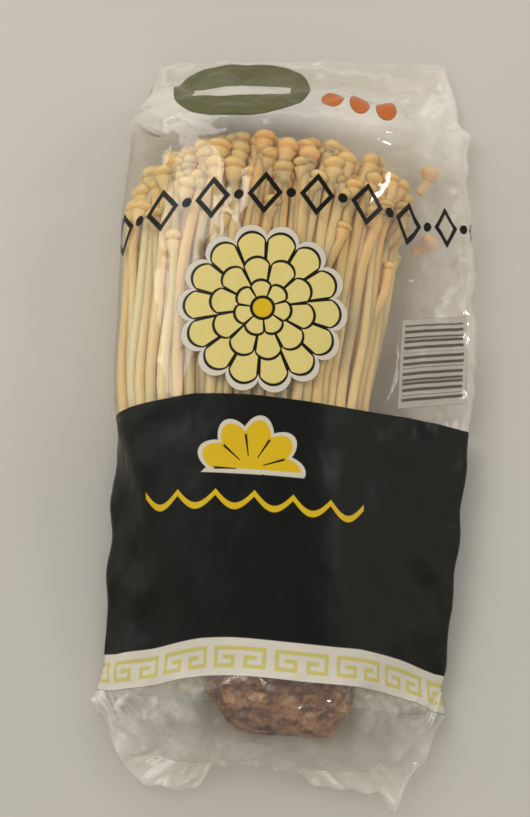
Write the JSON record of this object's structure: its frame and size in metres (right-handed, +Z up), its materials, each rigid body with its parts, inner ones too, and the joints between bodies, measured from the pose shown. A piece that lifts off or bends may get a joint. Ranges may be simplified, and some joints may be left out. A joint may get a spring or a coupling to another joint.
{
  "type": "enoki mushroom bunch",
  "caption": "Bunch of slim cream enoki mushrooms on their brown growing block, lying whole in a crumpled clear film bag that keeps it together and rests on a flat underside.",
  "frame": {"origin": "on the surface that the bag lies on, under the middle of the bag", "axes": "+Y along the bunch from the growing block to the caps, +Z up from the surface, +X to the right seen from above with the caps away from the viewer"},
  "size_m": [0.0928, 0.1997, 0.0343],
  "materials": {
    "mushroom_flesh": "satin",
    "growing_medium": "matte",
    "loose_mushroom": "satin",
    "clear_film": "gloss"
  },
  "bodies": {
    "root": {"enoki_cluster": "mushroom_flesh", "growing_block": "growing_medium", "loose_head_upper": "loose_mushroom", "loose_head_lower": "loose_mushroom", "film_bag": "clear_film"}
  },
  "joints": []
}
